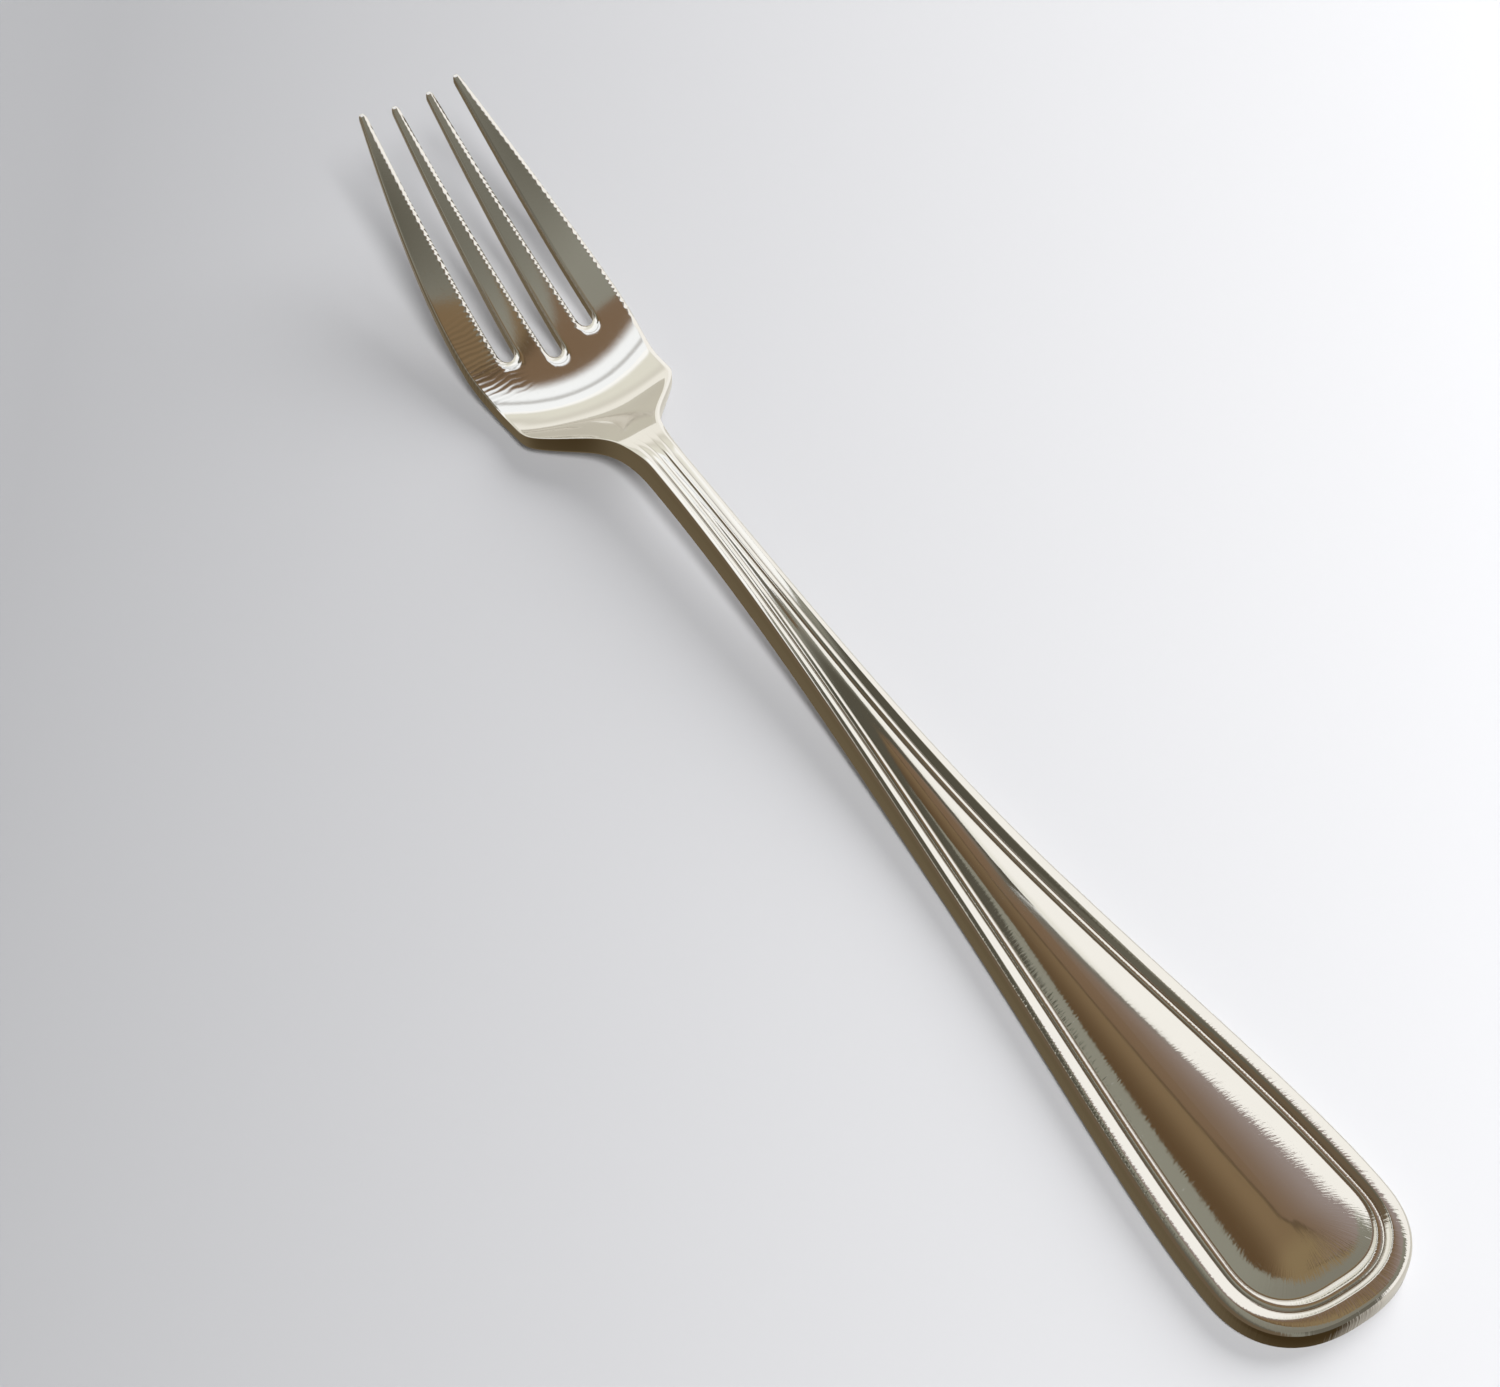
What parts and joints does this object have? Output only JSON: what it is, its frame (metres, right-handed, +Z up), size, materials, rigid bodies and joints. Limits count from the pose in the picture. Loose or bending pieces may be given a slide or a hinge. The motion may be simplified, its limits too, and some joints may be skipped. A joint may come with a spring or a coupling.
{
  "type": "fish fork",
  "caption": "Solid polished steel fork with curved tapering tines, an arched neck and a broad handle whose face carries a rim, a thread and a crowned panel.",
  "frame": {"origin": "under the middle of the fork's box, on the surface that the fork rests on", "axes": "+Y from the handle's end to the tine tips, +X to the right of it with the hollow of the head up, +Z up"},
  "size_m": [0.0224, 0.1854, 0.0197],
  "materials": {
    "polished_steel": "polished"
  },
  "bodies": {
    "root": {"fork": "polished_steel"}
  },
  "joints": []
}
